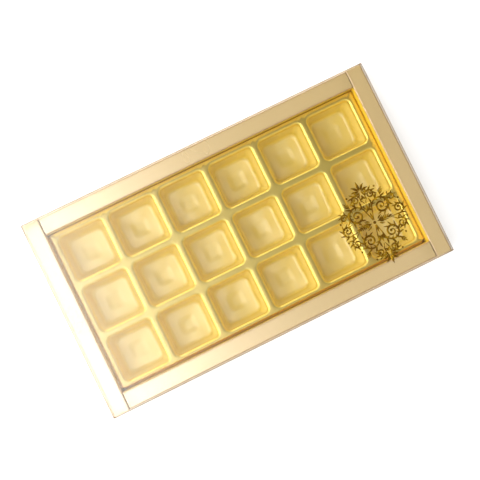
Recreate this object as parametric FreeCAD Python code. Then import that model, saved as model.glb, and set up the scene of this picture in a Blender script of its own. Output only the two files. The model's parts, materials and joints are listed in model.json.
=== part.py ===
"""Presentation box for eighteen pralines: folded board tray, formed insert and clear lift-off lid.

Lengths are in millimetres. X runs along the box, Y from front to back and Z up. The origin lies in the
middle of the underside.
"""
import os

import FreeCAD
import Part
from FreeCAD import Vector

# Insert: one formed sheet with a grid of cups
COLUMNS = 6
ROWS = 3
CAVITY_MOUTH = 28.0  # square mouth of a cup
LAND = 4.5  # flat web between two mouths
WALL_LEAN = 2.6  # how far each cup wall leans in on its way down
CAVITY_DEPTH = 18.5  # land to cup floor
MOUTH_ROUND = 0.6  # underside of the rolled edge between land and cup wall
FLOOR_ROUND = 1.5  # hollow between cup wall and floor
CORNER_SPARE = 0.3  # plan radius of the cup floor beyond its hollow
LEDGE = 5.4  # flat floor around the sunk middle
RECESS_DEPTH = 1.0
RECESS_LEAN = 0.7
RECESS_CORNER = 1.2
SHEET = 0.4
RIM_ENDS = 3.55  # land outside the end columns
RIM_SIDES = 2.8  # land outside the outer rows
RIM_CORNER = 1.2  # plan radius inside the turned-down edge
EDGE_DROP = 3.0  # turned-down edge of the rim

# Board tray
BOARD = 0.6
CREASE = 0.4  # inside radius of a fold
INSERT_GAP = 1.2  # insert to inner wall, each side
HEADROOM = 6.5  # land to rail top
SHORT_RAIL = 10.0  # rail width at the two ends
LONG_RAIL = 10.5  # rail width along front and back
RAIL_GAP = 0.7  # end of a long rail to the short rail
GLUE_FLAP = 6.0  # foot of an inner wall, lying on the floor
CORNER_TAB = 9.0
TAB_GAP = 1.0  # corner tab to the folds above and below it
PANEL_GAP = 0.3  # free edge of a panel to its neighbour

# Clear lid
LID_SHEET = 0.3
LID_PLAY = 0.2  # corner tab to outer wall, each side
LID_REVEAL = 5.0  # tray left showing below the skirt
LID_TAB = 10.0

# Sizes that follow
PITCH = CAVITY_MOUTH + LAND
CAVITY_FLOOR = CAVITY_MOUTH - 2 * WALL_LEAN
FLOOR_CORNER = FLOOR_ROUND + CORNER_SPARE
RECESS_MOUTH = CAVITY_FLOOR - 2 * LEDGE
INSERT_LENGTH = COLUMNS * PITCH - LAND + 2 * RIM_ENDS
INSERT_WIDTH = ROWS * PITCH - LAND + 2 * RIM_SIDES
OPENING_LENGTH = INSERT_LENGTH + 2 * INSERT_GAP
OPENING_WIDTH = INSERT_WIDTH + 2 * INSERT_GAP
BOX_LENGTH = OPENING_LENGTH + 2 * SHORT_RAIL
BOX_WIDTH = OPENING_WIDTH + 2 * LONG_RAIL
FOLD = CREASE + BOARD  # outside radius of a fold
LID_GAP = LID_PLAY + LID_SHEET  # skirt to outer wall, with a corner tab between them
LAND_Z = BOARD + SHEET + RECESS_DEPTH + CAVITY_DEPTH
RAIL_Z = LAND_Z + HEADROOM
LONG_RAIL_LENGTH = OPENING_LENGTH - 2 * RAIL_GAP
LEVEL = 1e-5  # heights closer than this are one level

# Each side of the tray is drawn with its outer face on Y = 0 and its inside towards +Y, then turned into place.
SIDES = {
    "front": (0, Vector(0, -BOX_WIDTH / 2, 0)),
    "right": (90, Vector(BOX_LENGTH / 2, 0, 0)),
    "back": (180, Vector(0, BOX_WIDTH / 2, 0)),
    "left": (270, Vector(-BOX_LENGTH / 2, 0, 0)),
}


def block(x0, x1, y0, y1, z0, z1):
    """Box between two corners."""
    return Part.makeBox(x1 - x0, y1 - y0, z1 - z0, Vector(x0, y0, z0))


def span(length, y0, y1, z0, z1):
    """Box centred on X = 0."""
    return block(-length / 2, length / 2, y0, y1, z0, z1)


def joined(shapes):
    """One solid from shapes that touch or overlap."""
    return shapes[0].multiFuse(shapes[1:]).removeSplitter()


def bend(length, y, z, to_y, to_z):
    """Quarter of a folded edge along X, about the line through y and z, on the side that to_y and to_z name."""
    start = Vector(-length / 2, y, z)
    along = Vector(1, 0, 0)
    ring = Part.makeCylinder(FOLD, length, start, along)
    ring = ring.cut(Part.makeCylinder(CREASE, length, start, along))
    low_y, high_y = sorted((y, y + to_y * FOLD))
    low_z, high_z = sorted((z, z + to_z * FOLD))
    return ring.common(span(length, low_y, high_y, low_z, high_z))


def upright_bend(x, y, to_x, to_y, z0, z1):
    """Quarter of a folded edge along Z."""
    start = Vector(x, y, z0)
    ring = Part.makeCylinder(FOLD, z1 - z0, start)
    ring = ring.cut(Part.makeCylinder(CREASE, z1 - z0, start))
    low_x, high_x = sorted((x, x + to_x * FOLD))
    low_y, high_y = sorted((y, y + to_y * FOLD))
    return ring.common(block(low_x, high_x, low_y, high_y, z0, z1))


def placed(shape, side):
    """Side piece turned to its place on the tray."""
    angle, move = SIDES[side]
    shape = shape.copy()
    shape.rotate(Vector(0, 0, 0), Vector(0, 0, 1), angle)
    shape.translate(move)
    return shape


def floor_panel():
    length = BOX_LENGTH - 2 * FOLD
    width = BOX_WIDTH - 2 * FOLD
    return span(length, -width / 2, width / 2, 0, BOARD)


def long_wall():
    """Outer wall of front or back. Its ends rise under the tops of the short rails."""
    length = BOX_LENGTH - 2 * (BOARD + FOLD)
    wall = span(length, 0, BOARD, FOLD, RAIL_Z - FOLD)
    fold = bend(length, FOLD, FOLD, -1, -1)
    ear_start = OPENING_LENGTH / 2 + FOLD
    ear = block(ear_start, length / 2, 0, BOARD, RAIL_Z - FOLD, RAIL_Z - BOARD)
    return joined([wall, fold, ear, ear.mirror(Vector(0, 0, 0), Vector(1, 0, 0))])


def short_wall():
    """Outer wall of an end. It covers the corner tabs."""
    wall = span(BOX_WIDTH, 0, BOARD, FOLD, RAIL_Z - FOLD)
    fold = bend(BOX_WIDTH - 2 * FOLD, FOLD, FOLD, -1, -1)
    return joined([wall, fold])


def rail_top(length, width):
    """Top of a rail with the fold at each of its edges."""
    flat = span(length, FOLD, width - FOLD, RAIL_Z - BOARD, RAIL_Z)
    outer = bend(length, FOLD, RAIL_Z - FOLD, -1, 1)
    inner = bend(length, width - FOLD, RAIL_Z - FOLD, 1, 1)
    return joined([flat, outer, inner])


def inner_wall(length, width):
    return span(length, width - BOARD, width, BOARD + FOLD, RAIL_Z - FOLD)


def glue_flap(length, width):
    """Foot of an inner wall with its fold, glued to the floor under the insert."""
    root = width + CREASE
    flap = span(length, root, width + GLUE_FLAP, BOARD, 2 * BOARD)
    fold = bend(length, root, BOARD + FOLD, -1, -1)
    return joined([flap, fold])


def corner_tabs():
    """Four tabs that turn from the long walls and are glued behind the short walls."""
    low = FOLD + TAB_GAP
    high = RAIL_Z - FOLD - TAB_GAP
    face_x = BOX_LENGTH / 2 - BOARD
    face_y = BOX_WIDTH / 2
    turn = upright_bend(face_x - FOLD, face_y - FOLD, 1, 1, low, high)
    flat = block(face_x - BOARD, face_x, face_y - FOLD - CORNER_TAB, face_y - FOLD, low, high)
    return four_corners(joined([turn, flat]))


def four_corners(shape):
    """The shape and its mirror images in the other three corners."""
    pair = [shape, shape.mirror(Vector(0, 0, 0), Vector(1, 0, 0))]
    return Part.makeCompound(pair + [s.mirror(Vector(0, 0, 0), Vector(0, 1, 0)) for s in pair])


def upright_rounded(solid, radius):
    """Solid with its four upright edges rounded."""
    uprights = [e for e in solid.Edges if abs(e.Vertexes[0].Z - e.Vertexes[1].Z) > LEVEL]
    return solid.makeFillet(radius, uprights)


def taper(mouth, mouth_z, floor, floor_z, floor_corner):
    """Square plug with round corners that narrows downwards, from four cones and two wedges."""
    mouth_corner = floor_corner + (mouth - floor) / 2
    reach = floor / 2 - floor_corner
    rim = [(-floor, floor_z), (floor, floor_z), (mouth, mouth_z), (-mouth, mouth_z), (-floor, floor_z)]
    outline = Part.makePolygon([Vector(width / 2, -reach, z) for width, z in rim])
    wedge = Part.Face(outline).extrude(Vector(0, 2 * reach, 0))
    turned = wedge.copy()
    turned.rotate(Vector(0, 0, 0), Vector(0, 0, 1), 90)
    cone = Part.makeCone(floor_corner, mouth_corner, mouth_z - floor_z, Vector(reach, reach, floor_z))
    return joined([wedge, turned] + four_corners(cone).Solids)


def level_edges(shape, z, reach):
    """Edges that lie at height z within reach of the Z axis."""
    found = []
    for edge in shape.Edges:
        box = edge.BoundBox
        far = max(-box.XMin, box.XMax, -box.YMin, box.YMax)
        if abs(box.ZMin - z) < LEVEL and abs(box.ZMax - z) < LEVEL and far < reach:
            found.append(edge)
    return found


def air_above(offset):
    """Space over one cell of the sheet's upper face moved down by offset."""
    floor_z = LAND_Z - CAVITY_DEPTH - offset
    mouth = CAVITY_MOUTH + 2 * offset
    floor = CAVITY_FLOOR + 2 * offset
    cup = taper(mouth, LAND_Z, floor, floor_z, FLOOR_CORNER + offset)
    cup = cup.makeFillet(FLOOR_ROUND + offset, level_edges(cup, floor_z, PITCH))
    mouth = RECESS_MOUTH + 2 * offset
    floor = mouth - 2 * RECESS_LEAN
    recess = taper(mouth, floor_z, floor, floor_z - RECESS_DEPTH, RECESS_CORNER + offset)
    over = span(2 * PITCH, -PITCH, PITCH, LAND_Z - offset, LAND_Z + SHEET)
    air = joined([over, cup, recess])
    return air.makeFillet(MOUTH_ROUND + SHEET - offset, level_edges(air, LAND_Z - offset, PITCH))


def insert():
    """Formed sheet: a rim with its turned-down edge and a land, and a cell with a cup in each place."""
    rolled = MOUTH_ROUND + SHEET
    size = CAVITY_MOUTH + 2 * rolled
    place = span(size, -size / 2, size / 2, 0, LAND_Z)
    cell = place.common(air_above(SHEET)).cut(air_above(0))
    outside = rim_plug(INSERT_LENGTH, INSERT_WIDTH, RIM_CORNER + SHEET)
    inside = rim_plug(INSERT_LENGTH - 2 * SHEET, INSERT_WIDTH - 2 * SHEET, RIM_CORNER)
    inside.translate(Vector(0, 0, -SHEET))
    spots = []
    for column in range(COLUMNS):
        for row in range(ROWS):
            spots.append(Vector((column - (COLUMNS - 1) / 2) * PITCH, (row - (ROWS - 1) / 2) * PITCH, 0))
    land = outside.cut([inside] + [place.translated(spot) for spot in spots])
    return joined([land] + [cell.translated(spot) for spot in spots])


def rim_plug(length, width, radius):
    """Block with round corners that reaches down from the land by the turned-down edge."""
    return upright_rounded(span(length, -width / 2, width / 2, LAND_Z - EDGE_DROP, LAND_Z), radius)


def lid_top():
    length = BOX_LENGTH + 2 * (LID_GAP + LID_SHEET)
    width = BOX_WIDTH + 2 * (LID_GAP + LID_SHEET)
    return span(length, -width / 2, width / 2, RAIL_Z, RAIL_Z + LID_SHEET)


def lid_skirt(length):
    """Skirt of the lid outside a wall of the tray."""
    return span(length, -LID_GAP - LID_SHEET, -LID_GAP, LID_REVEAL, RAIL_Z)


def lid_corner_tabs():
    """Four tabs that turn from the long skirts and are glued behind the short skirts."""
    face_x = BOX_LENGTH / 2 + LID_GAP
    face_y = BOX_WIDTH / 2 + LID_GAP
    low = LID_REVEAL + TAB_GAP
    high = RAIL_Z - TAB_GAP
    return four_corners(block(face_x - LID_SHEET, face_x, face_y - LID_TAB, face_y, low, high))


def pieces():
    """Every piece of the box by its node name."""
    made = {"floor_panel": floor_panel(), "corner_tabs": corner_tabs()}
    for side in SIDES:
        long_side = side in ("front", "back")
        width = LONG_RAIL if long_side else SHORT_RAIL
        top_length = LONG_RAIL_LENGTH if long_side else BOX_WIDTH
        wall_length = LONG_RAIL_LENGTH if long_side else BOX_WIDTH - 2 * (BOARD + PANEL_GAP)
        flap_length = LONG_RAIL_LENGTH if long_side else OPENING_WIDTH - 2 * (GLUE_FLAP + PANEL_GAP)
        skirt_length = BOX_LENGTH + 2 * (LID_GAP + LID_SHEET) if long_side else BOX_WIDTH + 2 * LID_GAP
        made[side + "_wall"] = placed(long_wall() if long_side else short_wall(), side)
        made[side + "_rail"] = placed(rail_top(top_length, width), side)
        made[side + "_inner_wall"] = placed(inner_wall(wall_length, width), side)
        made[side + "_glue_flap"] = placed(glue_flap(flap_length, width), side)
        made["lid_" + side + "_skirt"] = placed(lid_skirt(skirt_length), side)
    made["insert"] = insert()
    made["lid_top"] = lid_top()
    made["lid_corner_tabs"] = lid_corner_tabs()
    return made


os.makedirs("parts", exist_ok=True)
for name, shape in pieces().items():
    shape.exportStep("parts/" + name + ".step")
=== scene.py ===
import json
import math

import bmesh
import bpy
from mathutils import Matrix, Vector, noise


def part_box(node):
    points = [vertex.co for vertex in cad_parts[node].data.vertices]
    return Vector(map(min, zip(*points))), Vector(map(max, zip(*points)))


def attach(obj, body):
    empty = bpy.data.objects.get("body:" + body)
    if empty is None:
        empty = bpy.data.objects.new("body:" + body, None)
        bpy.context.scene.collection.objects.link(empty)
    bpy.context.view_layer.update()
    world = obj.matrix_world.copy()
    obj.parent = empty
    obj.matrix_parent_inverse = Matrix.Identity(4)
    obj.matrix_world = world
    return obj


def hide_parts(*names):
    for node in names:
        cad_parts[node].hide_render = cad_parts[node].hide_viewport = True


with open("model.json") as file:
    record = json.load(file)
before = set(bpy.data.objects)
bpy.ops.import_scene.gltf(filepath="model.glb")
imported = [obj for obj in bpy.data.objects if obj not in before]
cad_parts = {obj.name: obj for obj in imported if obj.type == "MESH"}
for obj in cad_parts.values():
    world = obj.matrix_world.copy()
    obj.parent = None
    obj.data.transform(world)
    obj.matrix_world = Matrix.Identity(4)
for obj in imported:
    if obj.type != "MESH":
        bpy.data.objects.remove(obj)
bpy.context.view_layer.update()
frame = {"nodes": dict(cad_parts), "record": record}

MM = 0.001
WELD = 0.02 * MM  # points closer than this are one

# Board tray, its sizes read from the frame
RAIL_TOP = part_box("left_rail")[1].z
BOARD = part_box("floor_panel")[1].z  # thickness of the board
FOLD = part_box("front_wall")[1].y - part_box("front_wall")[0].y  # outside radius of a crease
FOLD_STEPS = 5
NEAR = 0.1 * FOLD  # slack for finding a panel's points by their place
BOX_HALF = Vector((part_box("right_wall")[1].x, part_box("back_wall")[1].y))
LONG_SIDES = ("front", "back")
LONG_WALL_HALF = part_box("front_wall")[1].x
SHORT_RAIL_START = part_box("right_rail")[0].x
EAR_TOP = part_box("front_wall")[1].z
WALL_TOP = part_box("left_wall")[1].z
WALL_LAP = 1.01 * FOLD  # how far a wall turns in at its foot, just past the crease
FOOT_HEIGHT = 0.95 * FOLD  # height up to which a short wall's foot stops short of the corners
INNER_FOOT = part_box("front_inner_wall")[0].z
INNER_TOP = RAIL_TOP - 1.5 * FOLD  # below this an inner wall is clear of the fold above it
JOINT = 0.3 * MM  # open joint between a long rail's end and a short rail
PANEL_BOW = 0.25 * MM  # how far a long panel gives in the middle
PANEL_CUTS = 24  # cuts along a panel, so that it can bow
PANEL_END = 0.999  # share of a panel's half length past which a point is at its end
# Turn in degrees and place of each side of the tray
SIDES = {
    "front": (0, Vector((0, -BOX_HALF.y, 0))),
    "right": (90, Vector((BOX_HALF.x, 0, 0))),
    "back": (180, Vector((0, BOX_HALF.y, 0))),
    "left": (270, Vector((-BOX_HALF.x, 0, 0))),
}

# Insert
SHEET = 0.4 * MM
LAND_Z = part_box("insert")[1].z
COLUMNS = 6
ROWS = 3
CUPS = [o["box_m"] for o in frame["record"]["physics"]["openings"] if o["name"].startswith("cup")]
PITCH = (max(b[0][0] for b in CUPS) - min(b[0][0] for b in CUPS)) / (COLUMNS - 1)
PITCH_HALF = Vector((COLUMNS, ROWS)) * PITCH / 2  # half of the field of cups
CUP_MOUTH = 27.2 * MM  # between the walls, just below the rolled mouth
CUP_LEAN = 1.5 * MM  # how far a wall comes in on its way down
CUP_DEPTH = 18.5 * MM
MOUTH_CORNER = 2.6 * MM  # corner radius of a cup in plan, at its mouth
FLOOR_CORNER = 4.0 * MM  # and at its floor
MOUTH_ROLL = 1.8 * MM
FLOOR_HOLLOW = 2.6 * MM  # radius between a cup's floor and its walls
WAVE_HALF = CUP_MOUTH / 2 - CUP_LEAN - FLOOR_HOLLOW / 2  # half of the part of a floor that is uneven
FLOOR_WAVE = 0.6 * MM  # how uneven it is
WAVE_LENGTH = 10.0 * MM
RECESS_MOUTH = 12.4 * MM  # shallow recess in a cup's floor
RECESS_LEAN = 4.2 * MM
RECESS_DEPTH = 0.5 * MM
RECESS_CORNER = 2.6 * MM
RECESS_STEPS = 5
HOLLOW_TURNS = (0, 20, 40, 60, 80)  # degrees round the hollow at which a cup has a ring of points
WALL_STEPS = 4
ROLL_TURNS = (22.5, 45, 67.5, 90)  # degrees round the rolled mouth, likewise
RIM = 0.85 * MM  # land outside the outer cups' pitch, on all sides but the front
LAND_HALF = PITCH_HALF + Vector((RIM, RIM))
RIM_FALL = 0.35 * MM  # how far that land falls to its edge at the right and the back
RIM_CORNER = 1.6 * MM
EDGE_ROLL = 0.45 * MM
EDGE_TURNS = (30, 60)  # degrees round the land's rolled edge at which it has points
EDGE_REACH = EDGE_ROLL * math.sin(math.radians(EDGE_TURNS[-1]))
SHOULDER_HALF = LAND_HALF + Vector((EDGE_REACH, EDGE_REACH))  # where the roll ends and the skirt starts
SKIRT_GAP = 0.25 * MM  # room between the insert's outer skirt and the tray
SKIRT_HALF = Vector(
    (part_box("right_inner_wall")[0].x - SKIRT_GAP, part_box("back_inner_wall")[0].y - SKIRT_GAP)
)
SKIRT_FLARE = 1.0 * MM  # height over which the skirt leans out
FLARE_SHARES = (0.1, 0.5, 0.9, 1.0)  # shares of that height at which it has points
SKIRT_DROP = 16.5 * MM
FRONT_CUT = 0.25 * MM  # how much narrower the front land is than half a web
FRONT_SLOT = 3.0  # how many times steeper the skirt leans along the front, where a dark slot shows

# Clear lid
FILM = 0.3 * MM
LID_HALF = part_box("lid_top")[1].xy
LID_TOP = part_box("lid_top")[1].z
LID_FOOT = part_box("lid_front_skirt")[0].z
FILM_FOLD = 0.5 * MM
FILM_FOLD_STEPS = 4
FILM_MIRROR = 0.026  # share of light that a face of the film mirrors head on
GRAZING_POWER = 5.0  # how late that share rises as the view turns along the film

# Sizes of patterns in millimetres. Real fibres and grain are finer, and are drawn this coarse to show.
FILM_CLOUD = 40
FILM_FIBRE = 0.9
BOARD_FIBRE = 0.6
SHEET_SWELL = 14
SHEET_GRAIN = 0.8
LID_RIPPLE = 45
FOIL_MOTTLE = 3

# Finishes
ROUGHNESS_DRIFT = 0.01  # how far the board film's roughness drifts either way

# Depths below the land at which the formed sheet's finish changes
LAND_SKIN = 0.01 * MM
SKIN_END = 0.18 * MM
BURNISH_END = 2.5 * MOUTH_ROLL

# Foil ornament on the lid, its strokes in millimetres from its centre
FOIL_CENTRE = Vector((75.7, -26.6)) * MM
FOIL_FLATNESS = 0.05  # height of a stroke over its width
SCROLL_EYE = 0.7  # innermost radius of a scroll
SCROLL_PULL = 0.85  # below 1, a scroll winds in sooner
SCROLL_POINTS = 14  # points in one turn of a scroll
SCROLL_ENDS = 0.3  # width of a scroll at its ends over its widest
SCROLL_BELLY = 0.8  # below 1, a scroll is widest before its middle
SCROLL_BALL = 1.35  # size of the ball in its eye over its stroke
SCROLL_LEAFY = 0.48  # share of a scroll that has leaves
SCROLL_FIRST = 0.1  # where its first leaf sits, in shares of the leaves' spacing
INNER_LEAFY = (0.05, 0.36)  # shares between which it has leaves on its inner side too
INNER_LEAN = 2.4  # lean of an inner leaf over that of an outer one
INNER_SIZE = 0.6  # length of an inner leaf over that of an outer one
STEM = 0.45  # width of a sprig's stem
SPRIG_FIRST = 0.3  # where its first pair of leaves sits, in shares of the pairs' spacing
SPRIG_TAPER = 0.35  # how much shorter a pair would be at its end than at its root
SPRIG_TIP = 0.8  # length of the leaf at its tip over that of a pair at its root
LEAF = 0.27  # width of a leaf over its length
LEAF_ENDS = 0.04  # share of that width which is added all along, so that a leaf's ends stay open
LEAF_BELLY = 0.75  # below 1, a leaf is widest before its middle
LEAF_STEPS = 6
LEAF_LEAN = 24  # degrees between a leaf and its stem
LEAF_BEND = 20  # degrees that a leaf turns further out
BEAD_SHARES = (-0.5, -0.45, -0.25, 0, 0.25, 0.45, 0.5)  # shares of a bead's size at which it has points
BEAD_ENDS = 0.02  # keeps a bead's ends open

# Scrolls of the right half: leg, eye, reach, start in degrees, turns, stroke, leaves and their length
SCROLLS = [
    ([(0.4, 1.5), (0.9, 4.5)], (8.0, 7.6), 6.2, 190, -1.9, 1.25, 9, 4.6),
    ([(0.4, -1.5), (0.9, -4.4)], (7.2, -8.8), 5.6, 165, 1.9, 1.25, 9, 4.3),
    ([(9.0, -0.4), (12.6, -1.3)], (16.6, 2.0), 3.8, -125, 1.6, 1.05, 7, 3.4),
    ([(9.5, -0.4), (12.4, -2.6)], (14.8, -6.8), 3.2, 115, -1.5, 1.0, 6, 3.3),
    ([(12.8, 5.0), (13.2, 8.0)], (15.4, 9.8), 2.5, 190, -1.4, 0.95, 5, 3.0),
    ([(0.3, 12.0), (0.9, 14.0)], (4.6, 16.6), 3.2, 215, -1.6, 1.0, 7, 3.6),
    ([(0.3, -13.0), (0.9, -14.8)], (4.2, -17.6), 3.0, 150, 1.6, 1.0, 7, 3.4),
]
# Sprigs of the right half: root, heading in degrees, length, pairs of leaves and their length
SPRIGS = [
    ((2.0, 0.0), 0, 6.8, 4, 4.0),
    ((9.8, 13.6), 58, 2.8, 2, 3.0),
    ((10.0, -14.0), -52, 2.8, 2, 3.0),
]
# Single leaves of the right half: root, heading in degrees, length, and bend in degrees
LEAVES = [
    ((0.7, 20.2), 68, 5.4, -50),
    ((0.9, 19.6), 38, 5.0, -55),
    ((0.9, 19.0), 8, 4.4, -50),
    ((0.7, -20.8), -68, 5.0, 50),
    ((0.9, -20.2), -38, 4.8, 55),
    ((0.9, -19.6), -8, 4.2, 50),
    ((0.8, 8.2), 70, 4.0, -30),
    ((0.8, -8.6), -70, 4.0, 30),
    ((2.6, 1.2), 40, 3.6, -30),
    ((2.6, -1.2), -40, 3.6, 30),
]
# Beads of the right half: place and size
BEADS = [
    (18.8, 7.4, 1.2),
    (19.2, -4.4, 1.2),
    (9.0, 19.6, 1.2),
    (8.4, -20.2, 1.2),
    (14.4, -12.6, 1.2),
    (1.9, 11.2, 1.0),
]
# Leaves on the axis: height and length. Each points away from the centre.
AXIS_LEAVES = [(20.4, 6.2), (1.4, 5.0), (7.6, 4.6), (-1.4, 5.0), (-8.0, 4.6), (-21.0, 5.6)]
# Beads on the axis: place and size
AXIS_BEADS = [(0, 0, 1.9), (0, 17.0, 1.3), (0, -17.8, 1.3)]

# Studio, in metres where nothing else is said
STAGE_HALF = 3.0
STAGE_DROP = 0.2 * MM  # keeps the stage clear of the tray's underside
STAGE_GLOW = 0.45  # lifts the stage to white where it is seen or mirrored
SIDE_LIGHT = 0.5  # strength of the world from the sides
OVERHEAD_LIGHT = 0.36  # and from overhead
DARK_LIGHT = 0.08  # and from overhead towards the back right
UP_RANGE = (0.5, 0.95)  # upward share of a direction between which the sides turn to overhead
DARK_RANGE = (0.07, 0.24)  # its share towards the back right between which overhead turns dark
BACK_RIGHT = (0.6, 0.8, 0.0)
# Softboxes: width and depth, place, turn in degrees, watts, and how steeply they fall off to their right
SOFTBOXES = {
    "overhead_softbox": ((0.45, 0.50), (0.025, -0.05, 0.80), (0, 0, 0), 5.6, 4.2),
    "high_left_softbox": ((0.5, 0.8), (-0.6, 0.05, 0.95), (0, -32, 0), 3.6, 0.0),
    "left_softbox": ((0.6, 0.6), (-1.0, 0.1, 0.45), (0, -66, -6), 9.6, 0.0),
    "back_softbox": ((0.6, 0.6), (-0.1, 1.0, 0.5), (-63, 0, 6), 5.4, 0.0),
    "front_strip": ((0.5, 0.15), (0.0, -0.9, 0.6), (56, 0, 0), 0.7, 0.0),
}
SENSOR = 36.0  # width in millimetres
FOCAL_LENGTH = 82.88  # in millimetres
CAMERA_PLACE = Vector((-46.1, -17.7, 669.7)) * MM
CAMERA_TARGET = Vector((-0.07, -1.14, 27.0)) * MM
CAMERA_ROLL = -26.133  # degrees


def linear(hex_colour):
    """Linear colour with full alpha from an sRGB hex value."""
    channels = [int(hex_colour[i : i + 2], 16) / 255 for i in (1, 3, 5)]
    return [c / 12.92 if c <= 0.04045 else ((c + 0.055) / 1.055) ** 2.4 for c in channels] + [1.0]


def per_mm(size):
    """Texture scale at which one feature is this many millimetres across."""
    return 1 / (size * MM)


def add(tree, kind, inputs=None, **settings):
    """Adds a node, sets it up and links or fills its inputs."""
    node = tree.nodes.new(kind)
    for name, value in settings.items():
        setattr(node, name, value)
    for socket, value in (inputs or {}).items():
        if isinstance(value, bpy.types.NodeSocket):
            tree.links.new(value, node.inputs[socket])
        else:
            node.inputs[socket].default_value = value
    return node


def blank(name):
    """New material with an empty node tree, and that tree."""
    material = bpy.data.materials.new(name)
    material.use_nodes = True
    material.node_tree.nodes.clear()
    return material, material.node_tree


def satin_gold_film(name, light, deep, roughness, metal, index):
    """Board laminated with champagne gold film: a soft metal sheen that shows the fibres under the film."""
    material, tree = blank(name)
    place = add(tree, "ShaderNodeTexCoord").outputs["Object"]
    cloud = add(tree, "ShaderNodeTexNoise", {"Vector": place, "Scale": per_mm(FILM_CLOUD), "Detail": 3.0})
    fibre = add(tree, "ShaderNodeTexNoise", {"Vector": place, "Scale": per_mm(FILM_FIBRE), "Detail": 4.0})
    colour = add(
        tree,
        "ShaderNodeMix",
        {"Factor": cloud.outputs["Fac"], "A": linear(light), "B": linear(deep)},
        data_type="RGBA",
    )
    rough = add(
        tree,
        "ShaderNodeMapRange",
        {
            "Value": cloud.outputs["Fac"],
            "To Min": roughness - ROUGHNESS_DRIFT,
            "To Max": roughness + ROUGHNESS_DRIFT,
        },
    )
    bump = add(
        tree,
        "ShaderNodeBump",
        {"Height": fibre.outputs["Fac"], "Strength": 0.03, "Distance": 0.05 * MM},
    )
    shader = add(
        tree,
        "ShaderNodeBsdfPrincipled",
        {
            "Base Color": colour.outputs["Result"],
            "Metallic": metal,
            "IOR": index,
            "Roughness": rough.outputs["Result"],
            "Normal": bump.outputs["Normal"],
        },
    )
    add(tree, "ShaderNodeOutputMaterial", {"Surface": shader.outputs["BSDF"]})
    return material


def bare_board(name):
    """Uncoated back and cut edges of the board: matt, fibrous and pale brown."""
    material, tree = blank(name)
    place = add(tree, "ShaderNodeTexCoord").outputs["Object"]
    fibre = add(tree, "ShaderNodeTexNoise", {"Vector": place, "Scale": per_mm(BOARD_FIBRE), "Detail": 5.0})
    colour = add(
        tree,
        "ShaderNodeMix",
        {"Factor": fibre.outputs["Fac"], "A": linear("#CDA874"), "B": linear("#E4C89C")},
        data_type="RGBA",
    )
    bump = add(
        tree,
        "ShaderNodeBump",
        {"Height": fibre.outputs["Fac"], "Strength": 0.3, "Distance": 0.05 * MM},
    )
    shader = add(
        tree,
        "ShaderNodeBsdfPrincipled",
        {"Base Color": colour.outputs["Result"], "Roughness": 0.9, "Normal": bump.outputs["Normal"]},
    )
    add(tree, "ShaderNodeOutputMaterial", {"Surface": shader.outputs["BSDF"]})
    return material


def formed_gold_sheet(name):
    """Vacuum-formed gold sheet: olive on the lands, burnished on the rolls, pale and dull in the cups."""
    material, tree = blank(name)
    place = add(tree, "ShaderNodeTexCoord").outputs["Object"]
    height = add(tree, "ShaderNodeSeparateXYZ", {0: place}).outputs["Z"]
    wave = add(tree, "ShaderNodeTexNoise", {"Vector": place, "Scale": per_mm(SHEET_SWELL), "Detail": 2.0})
    grain = add(tree, "ShaderNodeTexNoise", {"Vector": place, "Scale": per_mm(SHEET_GRAIN), "Detail": 3.0})
    stretch = add(
        tree,
        "ShaderNodeMapRange",
        {"Value": height, "From Min": LAND_Z - LAND_SKIN, "From Max": LAND_Z - SKIN_END},
        interpolation_type="SMOOTHSTEP",
    )
    depth = add(
        tree,
        "ShaderNodeMapRange",
        {"Value": height, "From Min": LAND_Z - CUP_DEPTH / 2, "From Max": LAND_Z - CUP_DEPTH},
        interpolation_type="SMOOTHSTEP",
    )
    drawn = add(
        tree,
        "ShaderNodeMix",
        {"Factor": depth.outputs["Result"], "A": linear("#F1D65E"), "B": linear("#F1D95A")},
        data_type="RGBA",
    )
    colour = add(
        tree,
        "ShaderNodeMix",
        {"Factor": stretch.outputs["Result"], "A": linear("#C4AA38"), "B": drawn.outputs["Result"]},
        data_type="RGBA",
    )
    burnish = add(
        tree,
        "ShaderNodeMapRange",
        {
            "Value": height,
            "From Min": LAND_Z - MOUTH_ROLL,
            "From Max": LAND_Z - BURNISH_END,
            "To Min": 0.8,
            "To Max": 0.08,
        },
        interpolation_type="SMOOTHSTEP",
    )
    metal = add(
        tree,
        "ShaderNodeMapRange",
        {"Value": stretch.outputs["Result"], "To Min": 0.48, "To Max": burnish.outputs["Result"]},
    )
    dull = add(
        tree,
        "ShaderNodeMapRange",
        {"Value": depth.outputs["Result"], "To Min": 0.44, "To Max": 0.45},
    )
    rough = add(
        tree,
        "ShaderNodeMapRange",
        {"Value": stretch.outputs["Result"], "To Min": 0.34, "To Max": dull.outputs["Result"]},
    )
    swell = add(
        tree,
        "ShaderNodeBump",
        {"Height": wave.outputs["Fac"], "Strength": 0.2, "Distance": 0.5 * MM},
    )
    bump = add(
        tree,
        "ShaderNodeBump",
        {
            "Height": grain.outputs["Fac"],
            "Strength": 0.08,
            "Distance": 0.04 * MM,
            "Normal": swell.outputs["Normal"],
        },
    )
    shader = add(
        tree,
        "ShaderNodeBsdfPrincipled",
        {
            "Base Color": colour.outputs["Result"],
            "Metallic": metal.outputs["Result"],
            "IOR": 2.5,
            "Roughness": rough.outputs["Result"],
            "Normal": bump.outputs["Normal"],
        },
    )
    add(tree, "ShaderNodeOutputMaterial", {"Surface": shader.outputs["BSDF"]})
    return material


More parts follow.
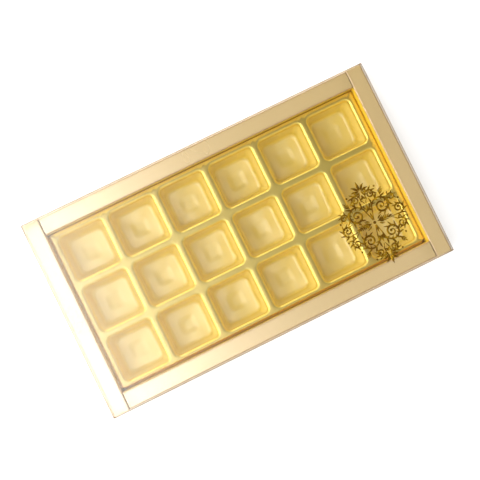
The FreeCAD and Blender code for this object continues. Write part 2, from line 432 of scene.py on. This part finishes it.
def clear_film(name, tint, haze):
    """Clear folded film: it shows what is behind it, mirrors the light, and clouds where it is creased."""
    material, tree = blank(name)
    place = add(tree, "ShaderNodeTexCoord").outputs["Object"]
    ripple = add(tree, "ShaderNodeTexNoise", {"Vector": place, "Scale": per_mm(LID_RIPPLE), "Detail": 1.0})
    bump = add(
        tree,
        "ShaderNodeBump",
        {"Height": ripple.outputs["Fac"], "Strength": 0.25, "Distance": 0.6 * MM},
    )
    slant = add(tree, "ShaderNodeLayerWeight", {"Blend": 0.5, "Normal": bump.outputs["Normal"]})
    rise = add(
        tree,
        "ShaderNodeMath",
        {0: slant.outputs["Facing"], 1: GRAZING_POWER},
        operation="POWER",
    )
    mirror = add(tree, "ShaderNodeMapRange", {"Value": rise.outputs[0], "To Min": FILM_MIRROR})
    gloss = add(
        tree,
        "ShaderNodeBsdfGlossy",
        {"Color": linear("#FFFFFF"), "Roughness": 0.08, "Normal": bump.outputs["Normal"]},
    )
    see_through = add(tree, "ShaderNodeBsdfTransparent", {"Color": linear(tint)})
    shine = add(
        tree,
        "ShaderNodeMixShader",
        {0: mirror.outputs["Result"], 1: see_through.outputs["BSDF"], 2: gloss.outputs["BSDF"]},
    )
    # On the folds, the tint of this cloud is painted shade.
    cloudy = add(tree, "ShaderNodeBsdfDiffuse", {"Color": linear(tint)})
    surface = add(
        tree,
        "ShaderNodeMixShader",
        {0: haze, 1: shine.outputs["Shader"], 2: cloudy.outputs["BSDF"]},
    )
    add(tree, "ShaderNodeOutputMaterial", {"Surface": surface.outputs["Shader"]})
    return material


def bronze_foil(name):
    """Hot-stamped bronze foil: a thin dark gold metal with a soft shine, and painted glints in its colour.
    """
    material, tree = blank(name)
    place = add(tree, "ShaderNodeTexCoord").outputs["Object"]
    mottle = add(tree, "ShaderNodeTexNoise", {"Vector": place, "Scale": per_mm(FOIL_MOTTLE), "Detail": 3.0})
    # Bright gold patches over dark bronze are painted glints.
    painted_glint = add(
        tree,
        "ShaderNodeMapRange",
        {"Value": mottle.outputs["Fac"], "From Min": 0.45, "From Max": 0.75},
    )
    colour = add(
        tree,
        "ShaderNodeMix",
        {"Factor": painted_glint.outputs["Result"], "A": linear("#7A550A"), "B": linear("#D8A820")},
        data_type="RGBA",
    )
    shader = add(
        tree,
        "ShaderNodeBsdfPrincipled",
        {"Base Color": colour.outputs["Result"], "Metallic": 0.85, "Roughness": 0.38},
    )
    add(tree, "ShaderNodeOutputMaterial", {"Surface": shader.outputs["BSDF"]})
    return material


GOLD_FILM = satin_gold_film(
    "satin_gold_film_on_board", "#E8C98B", "#E0C17F", roughness=0.27, metal=0.15, index=2.6
)
# The folds take the same film in a darker tone: painted shade where the board turns over.
SHADED_FOLD_FILM = satin_gold_film(
    "gold_film_fold_painted_shade", "#CDAB74", "#BC9A62", roughness=0.34, metal=0.15, index=2.0
)
# The inner walls are the same film as the rails; their deep, bright yellow is a painted reflection of the
# gold insert.
INNER_FILM_PAINTED_REFLECTION = satin_gold_film(
    "inner_wall_film_painted_gold_reflection", "#FFE24C", "#FCD83E", roughness=0.35, metal=0.0, index=1.45
)
BOARD_BACK = bare_board("uncoated_board")
# The bare board comes three times, so that the back of each film is bare at the same offset
BOARD_FACES = [GOLD_FILM, SHADED_FOLD_FILM, INNER_FILM_PAINTED_REFLECTION, BOARD_BACK, BOARD_BACK, BOARD_BACK]
BARE_OFFSET = BOARD_FACES.index(BOARD_BACK)
GOLD_SHEET = formed_gold_sheet("vacuum_formed_gold_sheet")
CLEAR_FILM = clear_film("clear_film", "#FFFFFF", haze=0.0)
# The lid's folds cloud where creased, and the tan of that cloud is painted shade along the box's edges.
CLEAR_FOLD_HAZE_AND_SHADE = clear_film("clear_film_fold_haze_and_painted_shade", "#CBB083", haze=0.3)
LID_FACES = [CLEAR_FILM, CLEAR_FOLD_HAZE_AND_SHADE]
FOIL = bronze_foil("bronze_foil_print")


def finished(bm, name, materials, body, stands_for=()):
    """Turns a bmesh into a smooth-shaded piece that rides on a body and stands for CAD nodes."""
    mesh = bpy.data.meshes.new(name)
    bm.to_mesh(mesh)
    bm.free()
    mesh.shade_smooth()
    for material in materials:
        mesh.materials.append(material)
    piece = bpy.data.objects.new(name, mesh)
    bpy.context.scene.collection.objects.link(piece)
    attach(piece, body)
    if stands_for:
        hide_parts(*stands_for)
    return piece


def thicken(piece, thickness, back=0):
    """Thickens a sheet away from its seen side, with its back and cut edges in the slot `back` places on."""
    wall = piece.modifiers.new("thickness", "SOLIDIFY")
    wall.thickness = thickness
    wall.offset = -1
    wall.use_even_offset = True
    wall.material_offset = back
    wall.material_offset_rim = back
    flats = piece.modifiers.new("flats", "WEIGHTED_NORMAL")
    flats.keep_sharp = True


def rounded(bm, edges, offset, segments):
    """Rounds edges and returns the new faces."""
    return bmesh.ops.bevel(
        bm,
        geom=edges,
        offset=offset,
        segments=segments,
        profile=0.5,
        affect="EDGES",
        material=-1,
    )["faces"]


def folded_panel(points, half_length):
    """Sheet along X from a section in Y and Z, with its inner corners folded round. Returns the bmesh."""
    bm = bmesh.new()
    chain = [bm.verts.new((-half_length, y, z)) for y, z in points]
    section = [bm.edges.new(pair) for pair in zip(chain, chain[1:])]
    swept = bmesh.ops.extrude_edge_only(bm, edges=section)["geom"]
    moved = [v for v in swept if isinstance(v, bmesh.types.BMVert)]
    bmesh.ops.translate(bm, verts=moved, vec=(2 * half_length, 0, 0))
    creases = [e for e in bm.edges if len(e.link_faces) == 2]
    # The rounded folds take the darker fold film, which is painted shade.
    for face in rounded(bm, creases, FOLD, FOLD_STEPS):
        face.material_index = BOARD_FACES.index(SHADED_FOLD_FILM)
    bmesh.ops.remove_doubles(bm, verts=bm.verts, dist=WELD)
    bmesh.ops.recalc_face_normals(bm, faces=bm.faces)
    lengthwise = [e for e in bm.edges if abs(e.verts[0].co.x - e.verts[1].co.x) > half_length]
    bmesh.ops.subdivide_edges(bm, edges=lengthwise, cuts=PANEL_CUTS, use_grid_fill=True)
    return bm


def facing(bm, direction):
    """Turns the sheet over if its largest face looks the other way."""
    bm.normal_update()
    largest = max(bm.faces, key=lambda f: f.calc_area())
    if largest.normal.dot(Vector(direction)) < 0:
        bmesh.ops.reverse_faces(bm, faces=bm.faces)


def put(bm, side):
    """Turns a side's sheet to its place on the tray."""
    angle, move = SIDES[side]
    turn = Matrix.Translation(move) @ Matrix.Rotation(math.radians(angle), 4, "Z")
    bmesh.ops.transform(bm, matrix=turn, verts=bm.verts)


def board_rail(side):
    """Rail top with its two folds and the inner wall below it."""
    low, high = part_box(side + "_rail")
    size = high - low
    half_length, width = size.y / 2, size.x
    if side in LONG_SIDES:
        half_length, width = SHORT_RAIL_START - JOINT, size.y
    section = [(0, WALL_TOP), (0, RAIL_TOP), (width, RAIL_TOP), (width, INNER_FOOT)]
    bm = folded_panel(section, half_length)
    facing(bm, (0, 1, 0))
    inner_low, inner_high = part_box(side + "_inner_wall")
    inner_half = max(inner_high.xy - inner_low.xy) / 2
    for vert in bm.verts:
        along = vert.co.x / half_length
        on_inner_wall = vert.co.z < INNER_TOP and vert.co.y > width / 2
        if on_inner_wall and abs(along) > PANEL_END:
            vert.co.x = math.copysign(inner_half, along)
        if vert.co.z > RAIL_TOP - NEAR:
            vert.co.z -= PANEL_BOW * (1 - along**2) * math.sin(math.pi * vert.co.y / width)
    # Inner wall faces below the fold take the film with the painted reflection of the insert.
    for face in bm.faces:
        middle = face.calc_center_median()
        if middle.z < RAIL_TOP - FOLD and middle.y > width / 2:
            face.material_index = BOARD_FACES.index(INNER_FILM_PAINTED_REFLECTION)
    put(bm, side)
    piece = finished(
        bm,
        side + "_folded_rail",
        BOARD_FACES,
        "tray",
        [side + "_rail", side + "_inner_wall"],
    )
    thicken(piece, BOARD, BARE_OFFSET)


def raised_ears(bm):
    """Raises a long wall's ends into ears that reach under the short rails."""
    ear_start = SHORT_RAIL_START + FOLD
    for x in (-ear_start, ear_start):
        geom = bm.verts[:] + bm.edges[:] + bm.faces[:]
        bmesh.ops.bisect_plane(bm, geom=geom, plane_co=(x, 0, 0), plane_no=(1, 0, 0))
    tops = []
    for edge in bm.edges:
        lowest = min(v.co.z for v in edge.verts)
        innermost = min(abs(v.co.x) for v in edge.verts)
        if lowest > WALL_TOP - NEAR and innermost > ear_start - NEAR:
            tops.append(edge)
    ears = bmesh.ops.extrude_edge_only(bm, edges=tops)["geom"]
    raised = [v for v in ears if isinstance(v, bmesh.types.BMVert)]
    bmesh.ops.translate(bm, verts=raised, vec=(0, 0, EAR_TOP - WALL_TOP))


def outer_wall(side):
    """Outer wall with the fold to the floor. Long walls have ears, and short ones a shorter foot."""
    long_side = side in LONG_SIDES
    half_length = LONG_WALL_HALF if long_side else BOX_HALF.y
    bm = folded_panel([(WALL_LAP, 0), (0, 0), (0, WALL_TOP)], half_length)
    facing(bm, (0, -1, 0))
    if long_side:
        raised_ears(bm)
    else:
        for vert in bm.verts:
            if vert.co.z < FOOT_HEIGHT:
                vert.co.x = max(-half_length + FOLD, min(half_length - FOLD, vert.co.x))
    for vert in bm.verts:
        along = vert.co.x / half_length
        height = min(1, max(0, vert.co.z / WALL_TOP))
        vert.co.y += PANEL_BOW * max(0, 1 - along**2) * math.sin(math.pi * height)
    put(bm, side)
    piece = finished(
        bm,
        side + "_outer_wall",
        BOARD_FACES,
        "tray",
        [side + "_wall"],
    )
    thicken(piece, BOARD, BARE_OFFSET)


def tray_floor():
    """Floor panel, gold below and bare board above."""
    low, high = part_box("floor_panel")
    bm = bmesh.new()
    bmesh.ops.create_grid(bm, x_segments=12, y_segments=8, size=0.5)
    bmesh.ops.scale(bm, vec=(high.x - low.x, high.y - low.y, 1), verts=bm.verts)
    facing(bm, (0, 0, -1))
    piece = finished(
        bm,
        "tray_floor",
        BOARD_FACES,
        "tray",
        ["floor_panel"],
    )
    thicken(piece, BOARD, BARE_OFFSET)


def cup_rings():
    """Square rings of a cup from its floor's centre to the land: half size, height and corner radius."""
    mouth = CUP_MOUTH / 2
    floor = mouth - CUP_LEAN
    floor_z = LAND_Z - CUP_DEPTH
    rings = []
    for step in range(RECESS_STEPS + 1):
        share = step / RECESS_STEPS
        half = RECESS_MOUTH / 2 - RECESS_LEAN * (1 - share)
        dip = RECESS_DEPTH * (1 + math.cos(math.pi * share)) / 2
        rings.append((half, floor_z - dip, RECESS_CORNER * half / RECESS_MOUTH * 2))
    for degrees in HOLLOW_TURNS:
        turn = math.radians(degrees)
        half = floor - FLOOR_HOLLOW * (1 - math.sin(turn))
        rise = FLOOR_HOLLOW * (1 - math.cos(turn))
        rings.append((half, floor_z + rise, FLOOR_CORNER * half / floor))
    foot, foot_z, _ = rings[-1]
    roll_z = LAND_Z - MOUTH_ROLL
    for step in range(1, WALL_STEPS + 1):
        share = step / WALL_STEPS
        half = foot + (mouth - foot) * share
        corner = FLOOR_CORNER + (MOUTH_CORNER - FLOOR_CORNER) * share
        rings.append((half, foot_z + (roll_z - foot_z) * share, corner))
    for degrees in ROLL_TURNS:
        turn = math.radians(degrees)
        out = MOUTH_ROLL * (1 - math.cos(turn))
        rings.append((mouth + out, roll_z + MOUTH_ROLL * math.sin(turn), MOUTH_CORNER + out))
    return rings


def round_corner(x, y, half_x, half_y, radius):
    """Moves a point on a rectangle's outline onto its rounded corner."""
    over = Vector((abs(x) - half_x + radius, abs(y) - half_y + radius))
    if min(over) <= 0:
        return x, y
    over = over.normalized() * radius
    return math.copysign(half_x - radius + over.x, x), math.copysign(half_y - radius + over.y, y)


def drawn_cups():
    """Fine grid on the land whose rings of points are drawn down into cups. Returns the bmesh."""
    rings = cup_rings()
    count = len(rings) + 1
    bm = bmesh.new()
    bmesh.ops.create_grid(bm, x_segments=2 * count * COLUMNS, y_segments=2 * count * ROWS, size=0.5)
    bmesh.ops.scale(bm, vec=(COLUMNS * PITCH, ROWS * PITCH, 1), verts=bm.verts)
    bmesh.ops.translate(bm, vec=(0, 0, LAND_Z), verts=bm.verts)
    for vert in bm.verts:
        column = min(COLUMNS - 1, int(vert.co.x / PITCH + COLUMNS / 2))
        row = min(ROWS - 1, int(vert.co.y / PITCH + ROWS / 2))
        centre = Vector(((column - (COLUMNS - 1) / 2) * PITCH, (row - (ROWS - 1) / 2) * PITCH))
        away = vert.co.xy - centre
        reach = max(abs(away.x), abs(away.y))
        ring = round(reach / (PITCH / 2) * count)
        if ring == count:
            continue
        half, z, radius = rings[max(0, ring - 1)]
        spot = away * half / reach if ring else away
        place = centre + Vector(round_corner(spot.x, spot.y, half, half, radius))
        vert.co = (*place, z)
        if half < WAVE_HALF:
            vert.co.z += FLOOR_WAVE * noise.noise(vert.co / WAVE_LENGTH)
    return bm


def grown(bm, edges, half, z, radius):
    """Extrudes an outline to a rounded rectangle of another size and height, and returns the new edges."""
    made = bmesh.ops.extrude_edge_only(bm, edges=edges)["geom"]
    verts = [v for v in made if isinstance(v, bmesh.types.BMVert)]
    reach = Vector((max(v.co.x for v in verts), max(v.co.y for v in verts)))
    for vert in verts:
        x = vert.co.x * half.x / reach.x
        y = vert.co.y * half.y / reach.y
        vert.co = (*round_corner(x, y, half.x, half.y, radius), z)
    return [e for e in made if isinstance(e, bmesh.types.BMEdge)]


def turn_down_rim(bm):
    """Widens the land by its rim, rolls its edge and turns a skirt down from it all round."""
    outline = [e for e in bm.edges if e.is_boundary]
    for vert in {v for e in outline for v in e.verts}:
        x = vert.co.x * LAND_HALF.x / PITCH_HALF.x
        y = vert.co.y * LAND_HALF.y / PITCH_HALF.y
        vert.co.xy = round_corner(x, y, LAND_HALF.x, LAND_HALF.y, RIM_CORNER - EDGE_ROLL)
    rim = []
    for degrees in EDGE_TURNS:
        turn = math.radians(degrees)
        out = EDGE_ROLL * math.sin(turn)
        drop = EDGE_ROLL * (1 - math.cos(turn))
        rim.append((LAND_HALF + Vector((out, out)), LAND_Z - drop, RIM_CORNER - EDGE_ROLL + out))
    for share in FLARE_SHARES:
        z = LAND_Z - EDGE_ROLL - SKIRT_FLARE * share
        rim.append((SHOULDER_HALF.lerp(SKIRT_HALF, share), z, RIM_CORNER))
    rim.append((SKIRT_HALF, LAND_Z - SKIRT_DROP, RIM_CORNER))
    for half, z, radius in rim:
        outline = [e for e in grown(bm, outline, half, z, radius) if e.is_boundary]


def carried(value, marks, new_marks):
    """Carries a value along with the marks on either side of it. A value outside all the marks stays."""
    for low, high, new_low, new_high in zip(marks, marks[1:], new_marks, new_marks[1:]):
        if low <= value <= high:
            return new_low + (new_high - new_low) * (value - low) / (high - low)
    return value


def settle_rim(bm):
    """Lets the land fall at the right and the back, and narrows it at the front, where a slot shows."""
    land_start = PITCH_HALF.y - PITCH / 2 + CUP_MOUTH / 2 + MOUTH_ROLL
    even = [land_start, LAND_HALF.y, SHOULDER_HALF.y, SKIRT_HALF.y]
    narrow = [land_start, PITCH_HALF.y - FRONT_CUT, SHOULDER_HALF.y - RIM - FRONT_CUT, SKIRT_HALF.y]
    for vert in bm.verts:
        above_skirt = vert.co.z > LAND_Z - 2 * SKIRT_FLARE
        at_edge = max(vert.co.x - LAND_HALF.x, vert.co.y - LAND_HALF.y) > -WELD
        if above_skirt and vert.co.y < -LAND_HALF.y:
            vert.co.z = LAND_Z - (LAND_Z - vert.co.z) * FRONT_SLOT
        elif above_skirt and at_edge and vert.co.y > -LAND_HALF.y:
            vert.co.z -= RIM_FALL
        vert.co.y = -carried(-vert.co.y, even, narrow)


def formed_insert():
    """Formed sheet with its cups, its land and the skirt round it."""
    bm = drawn_cups()
    turn_down_rim(bm)
    settle_rim(bm)
    facing(bm, (0, 0, 1))
    piece = finished(bm, "formed_insert", [GOLD_SHEET], "insert", ["insert"])
    thicken(piece, SHEET)


def clear_lid():
    """Folded clear lid: top panel and skirts as one sheet."""
    bm = bmesh.new()
    bmesh.ops.create_cube(bm, size=1)
    size = Vector((2 * LID_HALF.x, 2 * LID_HALF.y, LID_TOP - LID_FOOT))
    bmesh.ops.scale(bm, vec=size, verts=bm.verts)
    bmesh.ops.translate(bm, vec=(0, 0, (LID_TOP + LID_FOOT) / 2), verts=bm.verts)
    bottom = min(bm.faces, key=lambda f: f.calc_center_median().z)
    bmesh.ops.delete(bm, geom=[bottom], context="FACES_ONLY")
    folds = [e for e in bm.edges if not e.is_boundary]
    # Folds take the clouded film, whose tan tint is painted shade.
    for face in rounded(bm, folds, FILM_FOLD, FILM_FOLD_STEPS):
        face.material_index = LID_FACES.index(CLEAR_FOLD_HAZE_AND_SHADE)
    piece = finished(
        bm,
        "clear_lid",
        LID_FACES,
        "lid",
        ["lid_top", "lid_front_skirt", "lid_back_skirt", "lid_left_skirt", "lid_right_skirt"],
    )
    thicken(piece, FILM)


def ahead(root, heading, length):
    """Point that far from a root along a heading in degrees."""
    turn = math.radians(heading)
    return root[0] + length * math.cos(turn), root[1] + length * math.sin(turn)


def spiral(eye, reach, start, turns, share):
    """Point of a scroll that winds in to its eye, and the way it heads there in degrees."""
    radius = reach + (SCROLL_EYE - reach) * share**SCROLL_PULL
    angle = start + 360 * turns * share
    return ahead(eye, angle, radius), angle + math.copysign(90, turns)


def leaf(root, heading, length, bend):
    """Pointed leaf that bends as it grows, its heading in degrees from the right, as points and widths."""
    spot = root
    points = []
    widths = []
    for step in range(LEAF_STEPS + 1):
        share = step / LEAF_STEPS
        points.append(spot)
        widths.append(LEAF * length * (LEAF_ENDS + math.sin(math.pi * share**LEAF_BELLY)))
        spot = ahead(spot, heading + bend * share, length / LEAF_STEPS)
    return points, widths


def bead(x, y, size):
    """Round dot, as points and widths."""
    points = [(x, y + size * share) for share in BEAD_SHARES]
    widths = [size * math.sqrt(max(BEAD_ENDS, 1 - 4 * share * share)) for share in BEAD_SHARES]
    return points, widths


def scroll(leg, eye, reach, start, turns, stroke, leaves, length):
    """Scroll that comes along a leg and winds in to a ball at its eye, with leaves on both its sides."""
    count = round(SCROLL_POINTS * abs(turns))
    points = leg + [spiral(eye, reach, start, turns, step / count)[0] for step in range(count + 1)]
    last = len(points) - 1
    widths = []
    for number in range(last + 1):
        swell = math.sin(math.pi * (number / last) ** SCROLL_BELLY)
        widths.append(stroke * (SCROLL_ENDS + (1 - SCROLL_ENDS) * swell))
    strokes = [(points, widths), bead(*points[-1], SCROLL_BALL * stroke)]
    outwards = -math.copysign(1, turns)
    for number in range(leaves):
        share = SCROLL_LEAFY * (number + SCROLL_FIRST) / leaves
        root, heading = spiral(eye, reach, start, turns, share)
        size = length * (1 - share / 2)
        strokes.append(leaf(root, heading + outwards * LEAF_LEAN, size, outwards * LEAF_BEND))
        if INNER_LEAFY[0] < share < INNER_LEAFY[1]:
            inner_heading = heading - outwards * INNER_LEAN * LEAF_LEAN
            strokes.append(leaf(root, inner_heading, INNER_SIZE * size, -outwards * LEAF_BEND))
    return strokes


def sprig(root, heading, length, pairs, size):
    """Straight stem with pairs of leaves and one at its tip."""
    stem = [ahead(root, heading, length * share) for share in (0, 0.5, 1)]
    strokes = [(stem, [STEM] * len(stem)), leaf(stem[-1], heading, SPRIG_TIP * size, 0)]
    for number in range(pairs):
        share = (number + SPRIG_FIRST) / pairs
        spot = ahead(root, heading, length * share)
        leaf_size = size * (1 - SPRIG_TAPER * share)
        for way in (1, -1):
            strokes.append(leaf(spot, heading + way * LEAF_LEAN, leaf_size, way * LEAF_BEND))
    return strokes


def ornament_half():
    """Right half of a medallion of leafy scrolls."""
    strokes = []
    for values in SCROLLS:
        strokes += scroll(*values)
    for values in SPRIGS:
        strokes += sprig(*values)
    strokes += [leaf(*values) for values in LEAVES]
    strokes += [bead(*values) for values in BEADS]
    return strokes


def ornament_middle():
    """Leaves and beads on the medallion's axis."""
    strokes = [leaf((0, y), math.copysign(90, y), length, 0) for y, length in AXIS_LEAVES]
    return strokes + [bead(*values) for values in AXIS_BEADS]


def foil_ornament():
    """Stamped ornament: tapered strokes, pressed flat on the lid."""
    curve = bpy.data.curves.new("strokes", "CURVE")
    curve.dimensions = "3D"
    curve.bevel_depth = 0.5  # makes a point's radius the width of the stroke there
    curve.bevel_resolution = 1
    curve.resolution_u = 3
    curve.use_fill_caps = True
    half = ornament_half()
    other = [([(-x, y) for x, y in points], widths) for points, widths in half]
    for points, widths in half + other + ornament_middle():
        spline = curve.splines.new("NURBS")
        spline.points.add(len(points) - 1)
        for spot, (x, y), width in zip(spline.points, points, widths):
            spot.co = (x, y, 0, 1)
            spot.radius = width
        spline.order_u = 3
        spline.use_endpoint_u = True
    holder = bpy.data.objects.new("strokes", curve)
    mesh = bpy.data.meshes.new_from_object(holder)
    bpy.data.objects.remove(holder)
    bm = bmesh.new()
    bm.from_mesh(mesh)
    bmesh.ops.scale(bm, vec=(MM, MM, MM * FOIL_FLATNESS), verts=bm.verts)
    bmesh.ops.translate(bm, vec=(*FOIL_CENTRE, LID_TOP), verts=bm.verts)
    piece = finished(bm, "foil_ornament", [FOIL], "lid")
    piece.visible_shadow = False


def pale_stage():
    """Pale matt ground under the box that looks white and keeps the shadow."""
    bm = bmesh.new()
    bmesh.ops.create_grid(bm, x_segments=1, y_segments=1, size=STAGE_HALF)
    mesh = bpy.data.meshes.new("floor")
    bm.to_mesh(mesh)
    bm.free()
    floor = bpy.data.objects.new("floor", mesh)
    floor.location.z = -STAGE_DROP
    bpy.context.scene.collection.objects.link(floor)
    material, tree = blank("pale_floor")
    path = add(tree, "ShaderNodeLightPath")
    seen = add(
        tree,
        "ShaderNodeMath",
        {0: path.outputs["Is Camera Ray"], 1: path.outputs["Is Glossy Ray"]},
        operation="MAXIMUM",
    )
    seen = add(
        tree,
        "ShaderNodeMath",
        {0: seen.outputs[0], 1: path.outputs["Is Transmission Ray"]},
        operation="MAXIMUM",
    )
    level = add(tree, "ShaderNodeMath", {0: seen.outputs[0], 1: STAGE_GLOW}, operation="MULTIPLY")
    matt = add(tree, "ShaderNodeBsdfDiffuse", {"Color": linear("#F0F0F0")})
    glow = add(tree, "ShaderNodeEmission", {"Color": linear("#FFFFFF"), "Strength": level.outputs[0]})
    both = add(tree, "ShaderNodeAddShader", {0: matt.outputs["BSDF"], 1: glow.outputs["Emission"]})
    add(tree, "ShaderNodeOutputMaterial", {"Surface": both.outputs["Shader"]})
    mesh.materials.append(material)


def room_light():
    """White room that is darker overhead, and darkest overhead towards the back right."""
    world = bpy.data.worlds.new("studio")
    bpy.context.scene.world = world
    world.use_nodes = True
    tree = world.node_tree
    tree.nodes.clear()
    direction = add(tree, "ShaderNodeTexCoord").outputs["Generated"]
    upwards = add(tree, "ShaderNodeSeparateXYZ", {0: direction}).outputs["Z"]
    back_right = add(
        tree,
        "ShaderNodeVectorMath",
        {0: direction, 1: BACK_RIGHT},
        operation="DOT_PRODUCT",
    )
    overhead = add(
        tree,
        "ShaderNodeMapRange",
        {
            "Value": back_right.outputs["Value"],
            "From Min": DARK_RANGE[0],
            "From Max": DARK_RANGE[1],
            "To Min": OVERHEAD_LIGHT,
            "To Max": DARK_LIGHT,
        },
        interpolation_type="SMOOTHSTEP",
    )
    level = add(
        tree,
        "ShaderNodeMapRange",
        {
            "Value": upwards,
            "From Min": UP_RANGE[0],
            "From Max": UP_RANGE[1],
            "To Min": SIDE_LIGHT,
            "To Max": overhead.outputs["Result"],
        },
        interpolation_type="SMOOTHSTEP",
    )
    room = add(
        tree,
        "ShaderNodeBackground",
        {"Color": linear("#FFFFFF"), "Strength": level.outputs["Result"]},
    )
    add(tree, "ShaderNodeOutputWorld", {"Surface": room.outputs["Background"]})


def soft_light(name, size, place, turn, watts, fall):
    """Rectangular softbox whose light falls off towards its right end as a power. At 0 it is even."""
    light = bpy.data.lights.new(name, "AREA")
    light.shape = "RECTANGLE"
    light.size, light.size_y = size
    light.energy = watts
    light.use_nodes = True
    tree = light.node_tree
    tree.nodes.clear()
    spot = add(tree, "ShaderNodeNewGeometry").outputs["Parametric"]
    across = add(tree, "ShaderNodeSeparateXYZ", {0: spot}).outputs["X"]
    from_right = add(tree, "ShaderNodeMath", {0: 1.0, 1: across}, operation="SUBTRACT")
    level = add(tree, "ShaderNodeMath", {0: from_right.outputs[0], 1: fall}, operation="POWER")
    glow = add(tree, "ShaderNodeEmission", {"Strength": level.outputs[0]})
    add(tree, "ShaderNodeOutputLight", {"Surface": glow.outputs["Emission"]})
    lamp = bpy.data.objects.new(name, light)
    lamp.location = place
    lamp.rotation_euler = [math.radians(t) for t in turn]
    bpy.context.scene.collection.objects.link(lamp)


def photo_camera():
    """Camera of the photograph, nearly straight above the box and rolled."""
    lens = bpy.data.cameras.new("camera")
    lens.sensor_width = SENSOR
    lens.lens = FOCAL_LENGTH
    camera = bpy.data.objects.new("camera", lens)
    camera.location = CAMERA_PLACE
    look = (CAMERA_TARGET - CAMERA_PLACE).normalized()
    right = look.cross(Vector((0, 1, 0))).normalized()
    upright = Matrix((right, right.cross(look), -look)).transposed()
    camera.rotation_euler = (upright @ Matrix.Rotation(math.radians(CAMERA_ROLL), 3, "Z")).to_euler()
    bpy.context.scene.collection.objects.link(camera)
    bpy.context.scene.camera = camera


for side in SIDES:
    board_rail(side)
    outer_wall(side)
tray_floor()
formed_insert()
clear_lid()
foil_ornament()
# The flaps and tabs show as they come from the frame, in these finishes
for name, node in frame["nodes"].items():
    node.data.materials.clear()
    node.data.materials.append(CLEAR_FILM if name.startswith("lid") else GOLD_FILM)
pale_stage()
room_light()
for name, values in SOFTBOXES.items():
    soft_light(name, *values)
photo_camera()
bpy.context.scene.view_settings.view_transform = "Standard"
